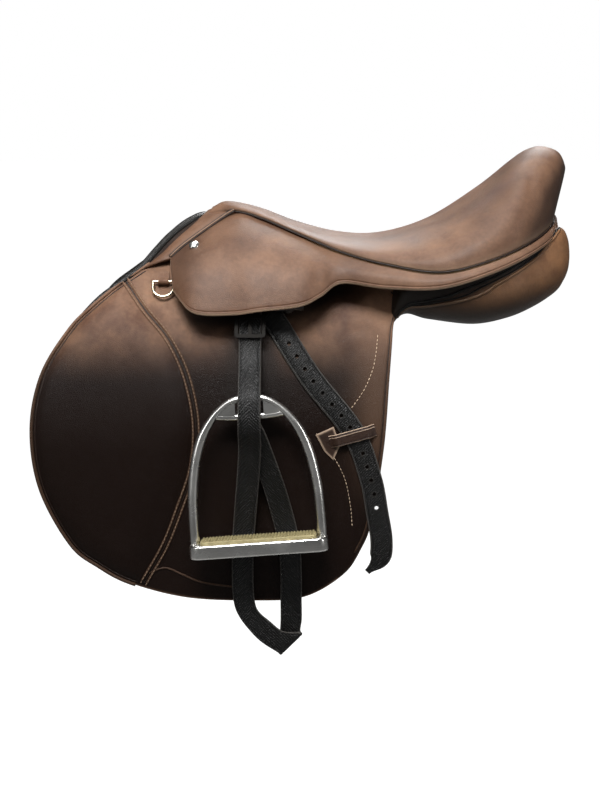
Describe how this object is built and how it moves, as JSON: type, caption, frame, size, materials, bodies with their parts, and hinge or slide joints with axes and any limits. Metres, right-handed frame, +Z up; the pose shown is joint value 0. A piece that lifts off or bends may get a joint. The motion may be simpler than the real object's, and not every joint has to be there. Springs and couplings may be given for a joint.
{
  "type": "jumping saddle",
  "caption": "Close-contact leather jumping saddle with padded flaps, stuffed panels, stirrup bars, and run-up stirrup irons on leathers tucked through the arch.",
  "frame": {"origin": "on the centre plane, below the lowest point of the seat, at the level where the rear panels bear on the back", "axes": "+X to the rear (cantle), +Y to the off side, +Z up"},
  "size_m": [0.6132, 0.4022, 0.5627],
  "materials": {
    "seat_leather": "satin",
    "flap_leather": "satin",
    "dark_leather": "satin",
    "panel_leather": "satin",
    "black_leather": "satin",
    "tree_wood": "matte",
    "foam": "matte",
    "webbing": "matte",
    "steel": "brushed",
    "polished_steel": "polished",
    "nickel": "polished",
    "tread_rubber": "matte"
  },
  "bodies": {
    "saddle": {"tree_head": "tree_wood", "tree_frame": "tree_wood", "tree_rivets": "steel", "seat_webbing": "webbing", "seat_foam": "foam", "seat_cover": "seat_leather", "seat_welt": "dark_leather", "pommel_facing": "seat_leather", "panel_facing": "dark_leather", "saddle_nails": "steel", "panel_screws": "steel", "near_skirt": "seat_leather", "off_skirt": "seat_leather", "near_panel": "panel_leather", "off_panel": "panel_leather", "near_sweat_flap": "dark_leather", "off_sweat_flap": "dark_leather", "near_knee_block": "dark_leather", "off_knee_block": "dark_leather", "near_billets": "dark_leather", "off_billets": "dark_leather", "near_flap_head": "flap_leather", "off_flap_head": "flap_leather", "near_stirrup_bar": "steel", "off_stirrup_bar": "steel", "near_dee_staple": "nickel", "off_dee_staple": "nickel"},
    "near_flap": {"near_flap": "flap_leather", "near_knee_pad": "flap_leather", "near_flap_keeper": "seat_leather", "near_leather_tail": "black_leather"},
    "near_leather": {"near_stirrup_leather": "black_leather", "near_leather_buckle": "steel"},
    "near_iron": {"near_stirrup_iron": "polished_steel", "near_tread_pad": "tread_rubber"},
    "near_catch": {"near_bar_catch": "steel"},
    "near_dee": {"near_dee_ring": "nickel"},
    "off_flap": {"off_flap": "flap_leather", "off_knee_pad": "flap_leather", "off_flap_keeper": "seat_leather", "off_leather_tail": "black_leather"},
    "off_leather": {"off_stirrup_leather": "black_leather", "off_leather_buckle": "steel"},
    "off_iron": {"off_stirrup_iron": "polished_steel", "off_tread_pad": "tread_rubber"},
    "off_catch": {"off_bar_catch": "steel"},
    "off_dee": {"off_dee_ring": "nickel"}
  },
  "joints": [
    {"name": "near_flap_lift", "type": "hinge", "parent": "saddle", "child": "near_flap", "pos_m": [-0.135, -0.11, 0.026], "axis": [-1, 0, 0], "range_deg": [0, 12]},
    {"name": "near_leather_swing", "type": "hinge", "parent": "near_flap", "child": "near_leather", "pos_m": [-0.135, -0.11, 0.026], "axis": [-1, 0, 0], "range_deg": [0, 10]},
    {"name": "near_iron_swing", "type": "hinge", "parent": "near_leather", "child": "near_iron", "pos_m": [-0.139, -0.161, -0.068], "axis": [-0.9976, -0.0073, -0.0694], "range_deg": [0, 8]},
    {"name": "near_catch_turn", "type": "hinge", "parent": "saddle", "child": "near_catch", "pos_m": [-0.096, -0.11, 0.026], "axis": [0, -0.8651, 0.5016], "range_deg": [0, 35]},
    {"name": "near_dee_swing", "type": "hinge", "parent": "saddle", "child": "near_dee", "pos_m": [-0.236, -0.0867, 0.052], "axis": [-1, 0, 0], "range_deg": [0, 14]},
    {"name": "off_flap_lift", "type": "hinge", "parent": "saddle", "child": "off_flap", "pos_m": [-0.135, 0.11, 0.026], "axis": [1, 0, 0], "range_deg": [0, 12]},
    {"name": "off_leather_swing", "type": "hinge", "parent": "off_flap", "child": "off_leather", "pos_m": [-0.135, 0.11, 0.026], "axis": [1, 0, 0], "range_deg": [0, 10]},
    {"name": "off_iron_swing", "type": "hinge", "parent": "off_leather", "child": "off_iron", "pos_m": [-0.139, 0.161, -0.068], "axis": [0.9976, -0.0073, 0.0694], "range_deg": [0, 8]},
    {"name": "off_catch_turn", "type": "hinge", "parent": "saddle", "child": "off_catch", "pos_m": [-0.096, 0.11, 0.026], "axis": [0, -0.8651, -0.5016], "range_deg": [0, 35]},
    {"name": "off_dee_swing", "type": "hinge", "parent": "saddle", "child": "off_dee", "pos_m": [-0.236, 0.0867, 0.052], "axis": [1, 0, 0], "range_deg": [0, 14]}
  ]
}
